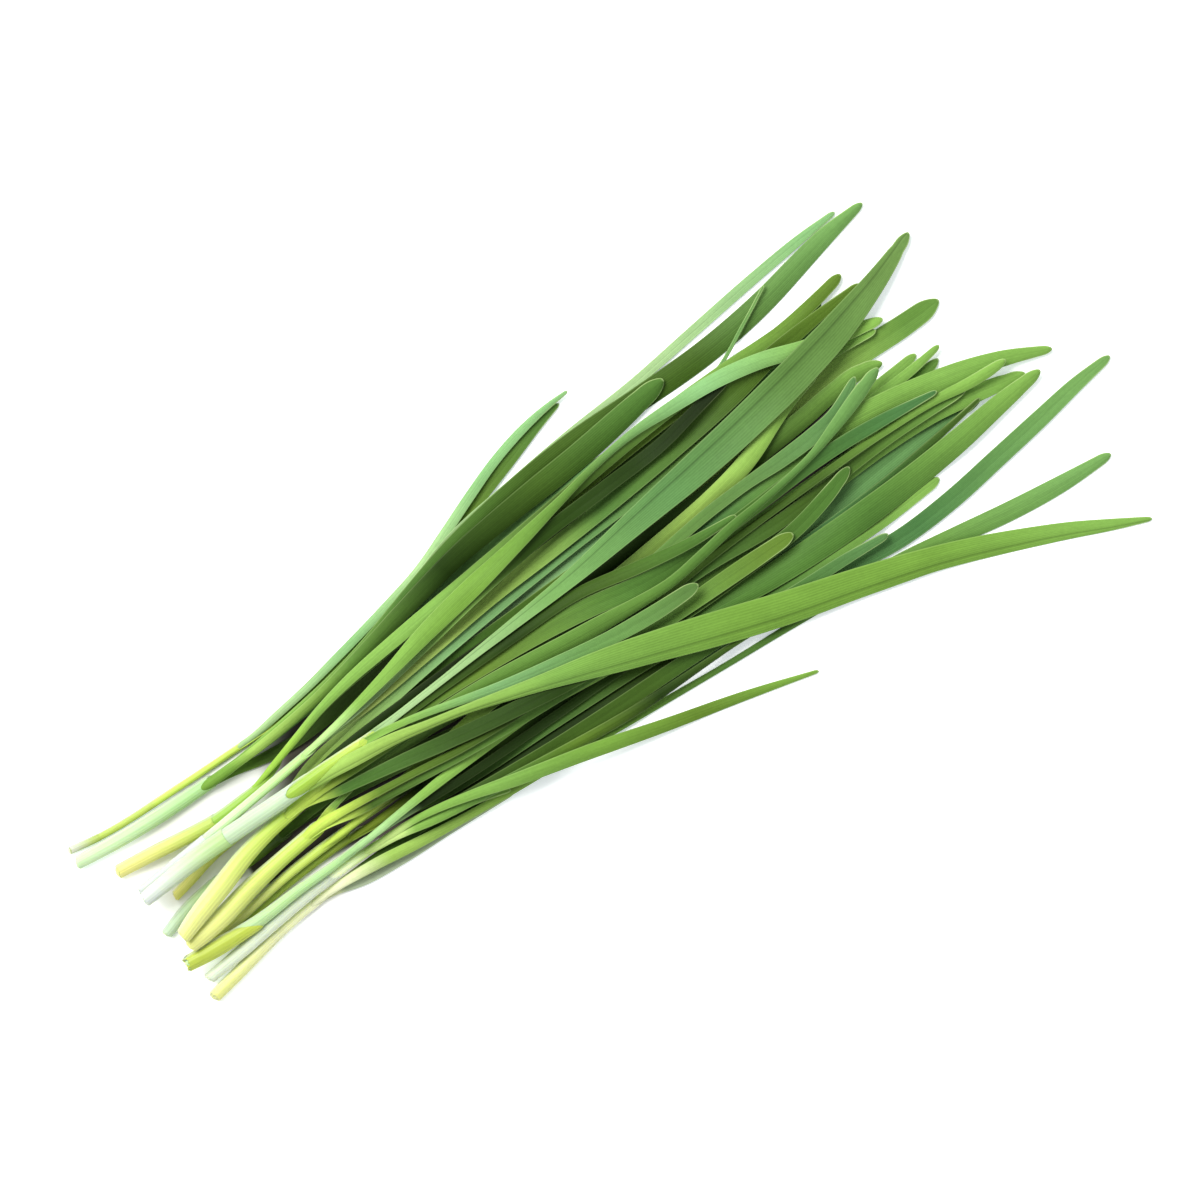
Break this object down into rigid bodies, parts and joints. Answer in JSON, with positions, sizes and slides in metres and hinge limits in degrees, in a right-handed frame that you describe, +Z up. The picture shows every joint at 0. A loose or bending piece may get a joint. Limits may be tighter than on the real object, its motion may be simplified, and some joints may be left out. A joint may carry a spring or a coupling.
{
  "type": "chive bunch",
  "caption": "Loose untied bunch of fresh flat-leaved garlic chives lying on a surface: pale sheath stems at one end, long narrow green blades fanning out to the other.",
  "frame": {"origin": "middle of the bunch's bounding box, on the surface it lies on", "axes": "+X along the bunch from the cut ends to the leaf tips, +Y across it, +Z up from the surface"},
  "size_m": [0.286, 0.1092, 0.014],
  "materials": {
    "chive": "living leaf: satin waxy green blades with fine lengthwise veins and pale margins, fading to yellow-green and white at the cut sheath ends"
  },
  "bodies": {
    "root": {"shoot_01": "chive", "shoot_02": "chive", "shoot_03": "chive", "shoot_04": "chive", "shoot_05": "chive", "shoot_06": "chive", "shoot_07": "chive", "shoot_08": "chive", "shoot_09": "chive", "shoot_10": "chive", "shoot_11": "chive", "shoot_12": "chive", "shoot_13": "chive", "shoot_14": "chive"}
  },
  "joints": []
}
